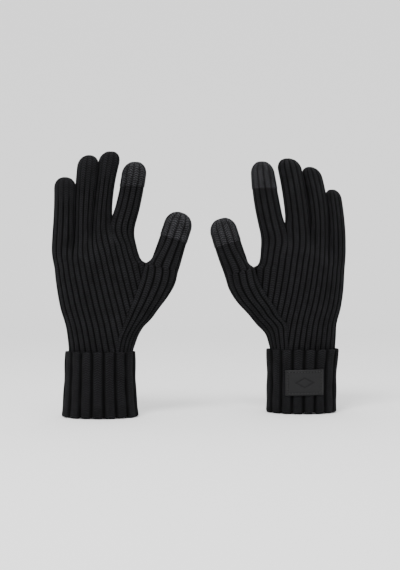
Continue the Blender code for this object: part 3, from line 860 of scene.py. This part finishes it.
def makeCuff(side, glove):
    path = cuffPath()
    inward, height, rib = path[:, 0:1], path[:, 1:2], path[:, 2:3]
    columns = cuff["ribs"] * cuff["perRib"]
    # the ribs are spaced evenly round the cuff at its middle
    turns = np.linspace(0, 2 * math.pi, 1441)
    length = arcLength(cuffBase(glove, turns, 0.0, np.full(turns.shape, cuff["middle"])))
    share = np.linspace(0, 1, columns + 1)
    angle = np.interp(share * length[-1], length, turns)
    # the middle of the back, at 270 degrees, is a rib or a groove as cuffPhase says
    centre = np.interp(1.5 * math.pi, turns, length) / length[-1]
    shape = (len(path), columns + 1)
    wale = np.broadcast_to((share - centre) * cuff["ribs"] + glove["cuffPhase"], shape)
    course = np.broadcast_to(arcLength(path[:, :2])[:, None] / cuff["course"], shape)
    points = cuffBase(glove, np.broadcast_to(angle, shape), inward,
                      np.broadcast_to(height, shape))
    column = np.abs(2 * ((wale * 2) % 1) - 1)
    amount = (cuff["ribDepth"] * (cuffRib(wale) - 1)
              + cuff["stitchRelief"] * strandHeight(column, course, cuff["lean"], 0.5)
              + cuff["uneven"] * np.sin(height * cuff["wave"] + np.floor(wale + 1e-6) * 2.4))
    surface = raised(points, -gridNormals(points, True), amount * rib)
    # nothing of the hem goes through the floor
    surface[..., 2] = np.maximum(surface[..., 2], 0.02)
    obj = gridObject(f"{side}_cuff_knit", glove, surface[::-1], wale[::-1] * 2, course[::-1],
                     materials["cuffYarn"])
    onHand(obj, side, "cuff_rib", "cuff_turnback", "cuff_inner")


label = {
    "across": 0.2, "height": 32.6, "width": 38.5, "tall": 26.0, "tip": 1.0,
    "gap": 0.35, "thickness": 1.5, "cell": 0.5,
    "rim": 2.4,  # stitching in from the edge
    "motif": (10.5, 5.5),  # half width and height of the plain lozenge pressed into it
    "lineDepth": 0.45, "motifDepth": 0.3, "rimDrop": 0.7, "back": 0.7,
    "stitch": 2.0, "pitch": 3.0, "thread": 0.3, "sunk": 0.3,
}
careLabel = {
    "width": 16.0, "length": 26.0, "height": 40.0, "thickness": 0.35,
    "depth": 16.7,  # of its sewn upper edge
    "hang": 1.3, "bow": 0.35,  # how far its lower edge hangs clear, and how far it curves
}


def leatherMaterial(name, base):
    # Pressed polyurethane leather: satin, with a fine pebble grain; a darker copy paints shade
    # into the pressed lines.
    material, tree, shader = newMaterial(name, base, {"Roughness": 0.5,
                                                      "Specular IOR Level": 0.16})
    place = addNode(tree, "ShaderNodeTexCoord", {}, "Object")
    grain = addNode(tree, "ShaderNodeTexVoronoi", {"Vector": place, "Scale": 1700.0})
    bump = addNode(tree, "ShaderNodeBump", {"Height": grain, "Strength": 0.35, "Distance": 0.0001})
    tree.links.new(bump, shader.inputs["Normal"])
    return material


def plainMaterial(name, base, roughness):
    # Filament polyester: the label's sewing thread, and the woven satin of a care label.
    return newMaterial(name, base, {"Roughness": roughness, "Sheen Weight": 0.1})[0]


def labelPoint(glove, across, up, lift):
    # place on the label, counted from its middle, at a height above the cuff's face
    outer, inner = along(glove["cuff"], label["height"])
    middle, half = (outer + inner) / 2, (inner - outer) / 2
    place = label["across"] + across
    cosine = (place - middle) / (half + lift)
    depth = -(cuff["depth"] + lift) * math.sqrt(1 - cosine * cosine)
    tip = label["tip"] * across / label["width"]
    return toWorld(glove, np.array([place, depth, label["height"] + up - tip]))


def labelMarks(across, up):
    # distance in from the label's edge, and place in the lozenge, which is 1 on its outline
    inward = min(label["width"] / 2 - abs(across), label["tall"] / 2 - abs(up))
    return inward, abs(across) / label["motif"][0] + abs(up) / label["motif"][1]


def labelRelief(across, up):
    # pressed edge line, rounded rim and a plain lozenge
    inward, lozenge = labelMarks(across, up)
    line = max(1 - abs(inward - label["rim"]) / 0.7, 0)
    pressed = float(ease((1 - lozenge) / 0.12) - 0.85 * ease((0.72 - lozenge) / 0.12))
    return (-label["lineDepth"] * line - label["motifDepth"] * pressed
            - label["rimDrop"] * (1 - float(ease(inward / 0.9))))


def makeLabel(side, glove):
    wide, tall = label["width"], label["tall"]
    bm = bmesh.new()
    bmesh.ops.create_grid(bm, x_segments=round(wide / label["cell"]),
                          y_segments=round(tall / label["cell"]), size=0.5)
    # faces of the pressed edge line and of the lozenge's outline take the darker leather, painted
    # shade in the pressed lines
    for face in bm.faces:
        middle = face.calc_center_median()
        inward, lozenge = labelMarks(middle.x * wide, middle.y * tall)
        pressed = abs(inward - label["rim"]) < 0.5 or abs(lozenge - 0.86) < 0.12
        face.material_index = int(pressed)
    for v in bm.verts:
        across, up = v.co.x * wide, v.co.y * tall
        lift = label["gap"] + label["thickness"] + labelRelief(across, up)
        v.co = labelPoint(glove, across, up, lift)
    if sum(face.normal.y for face in bm.faces) > 0:
        bmesh.ops.reverse_faces(bm, faces=bm.faces)
    smoothFaces(bm)
    rim = [edge for edge in bm.edges if edge.is_boundary]
    made = bmesh.ops.extrude_edge_only(bm, edges=rim)["geom"]
    for v in (g for g in made if isinstance(g, bmesh.types.BMVert)):
        v.co.y += label["back"] * mm
    backRim = [g for g in made if isinstance(g, bmesh.types.BMEdge) and g.is_boundary]
    bmesh.ops.contextual_create(bm, geom=backRim)
    bmesh.ops.recalc_face_normals(bm, faces=bm.faces)
    name = f"{side}_label"
    obj = newObject(name, newMesh(name, bm), leatherMaterial("labelLeather", "#151516"))
    # the darker leather is painted shade for the pressed lines
    obj.data.materials.append(leatherMaterial("paintedShadeLeather", "#050506"))
    onHand(obj, side, "label", "label_patch")


def makeLabelStitches(side, glove):
    wide, tall = label["width"] / 2 - label["rim"], label["tall"] / 2 - label["rim"]
    corners = ((-wide, -tall), (wide, -tall), (wide, tall), (-wide, tall))
    bm = bmesh.new()
    lift = label["gap"] + label["thickness"] - label["sunk"]
    for k, (ax, az) in enumerate(corners):
        bx, bz = corners[(k + 1) % 4]
        count = round(math.hypot(bx - ax, bz - az) / label["pitch"])
        for j in range(count):
            share = (j + 0.5) / count
            across, up = ax + (bx - ax) * share, az + (bz - az) * share
            made = bmesh.ops.create_uvsphere(bm, u_segments=6, v_segments=5,
                                             radius=label["thread"] * mm)["verts"]
            centre = Vector(labelPoint(glove, across, up, lift))
            long = label["stitch"] / 2 / label["thread"]
            size = Vector((1, 1, long) if k % 2 else (long, 1, 1))
            for v in made:
                v.co = v.co * size + centre
    smoothFaces(bm)
    name = f"{side}_label_stitches"
    obj = newObject(name, newMesh(name, bm), plainMaterial("labelThread", "#121213", 0.6))
    onHand(obj, side, "label_thread", "label_stitching")


def makeCareLabel(side, glove, material):
    # folded satin tape sewn in by its top edge, hanging a little away from the rib
    wide, tall = careLabel["width"], careLabel["length"]
    bm = bmesh.new()
    bmesh.ops.create_grid(bm, x_segments=8, y_segments=14, size=0.5)
    for v in bm.verts:
        across, up = v.co.x * wide, v.co.y * tall
        fall = 0.5 - v.co.y
        bow = careLabel["bow"] * (2 * v.co.x) ** 2 * (1 - fall)
        depth = careLabel["depth"] - careLabel["hang"] * fall - bow
        v.co = toWorld(glove, np.array([across, depth, careLabel["height"] + up]))
    bmesh.ops.recalc_face_normals(bm, faces=bm.faces)
    bmesh.ops.solidify(bm, geom=bm.faces[:], thickness=careLabel["thickness"] * mm)
    bmesh.ops.recalc_face_normals(bm, faces=bm.faces)
    smoothFaces(bm)
    name = f"{side}_care_tape"
    obj = newObject(name, newMesh(name, bm), material)
    onHand(obj, side, "care_label", "care_label")


careTape = plainMaterial("careTape", "#c9c9c4", 0.45)
for side, glove in gloves.items():
    digits = {name: fingerSpec(row) for name, row in glove["fingers"].items()}
    digits["thumb"] = thumbSpec(glove["thumb"])
    makePalm(side, glove, digits)
    print("palm", side)
    for k in range(len(fingerOrder)):
        makeFinger(side, glove, digits, k)
    print("fingers", side)
    makeThumb(side, glove, digits)
    print("thumb", side)
    makeCuff(side, glove)
    makeCareLabel(side, glove, careTape)
    print("cuff", side)
makeLabel("right", gloves["right"])
makeLabelStitches("right", gloves["right"])
print("label")


studio = {
    "paper": "#f4f4f4", "size": 3, "curveStart": 1.6, "curve": 0.9,
    "world": 1.6,
    "lampPlace": (-0.25, -0.75, 1.25), "lampAim": (0, 0, 0.13), "lampSize": 0.5, "lampPower": 16,
    "distance": 0.96, "elevation": 0.0, "aimHeight": 131.5, "aimAcross": -2.1,
    "viewHeight": 0.57,  # metres in view at the depth of the left glove
}


def makeStage():
    # matt pale floor that curves up into a backdrop
    paper = newMaterial("studioPaper", studio["paper"],
                        {"Roughness": 0.9, "Specular IOR Level": 0.1})[0]
    bm = bmesh.new()
    bmesh.ops.create_grid(bm, x_segments=1, y_segments=40, size=studio["size"])
    for v in bm.verts:
        v.co.z = studio["curve"] * max(v.co.y - studio["curveStart"], 0) ** 2
    smoothFaces(bm)
    newObject("floor", newMesh("floor", bm), paper)


def aimed(obj, target):
    # turned so that it looks at the target
    obj.rotation_euler = (target - obj.location).to_track_quat("-Z", "Y").to_euler()
    bpy.context.scene.collection.objects.link(obj)


def makeLight():
    light = bpy.data.lights.new("topLight", "AREA")
    light.shape = "DISK"
    light.size = studio["lampSize"]
    light.energy = studio["lampPower"]
    obj = bpy.data.objects.new("topLight", light)
    obj.location = studio["lampPlace"]
    aimed(obj, Vector(studio["lampAim"]))


def makeWorld():
    world = bpy.data.worlds.new("studio")
    world.use_nodes = True
    background = world.node_tree.nodes["Background"]
    background.inputs["Color"].default_value = (1, 1, 1, 1)
    background.inputs["Strength"].default_value = studio["world"]
    bpy.context.scene.world = world


def makeCamera():
    data = bpy.data.cameras.new("camera")
    data.sensor_fit = "VERTICAL"
    near = studio["distance"] + gloves["left"]["y"] * mm
    data.angle_y = 2 * math.atan(studio["viewHeight"] / 2 / near)
    camera = bpy.data.objects.new("camera", data)
    rise = math.radians(studio["elevation"])
    target = Vector((studio["aimAcross"] * mm, 0, studio["aimHeight"] * mm))
    camera.location = target + Vector((0, -math.cos(rise), math.sin(rise))) * studio["distance"]
    aimed(camera, target)
    bpy.context.scene.camera = camera


makeStage()
makeWorld()
makeLight()
makeCamera()
print("stage")
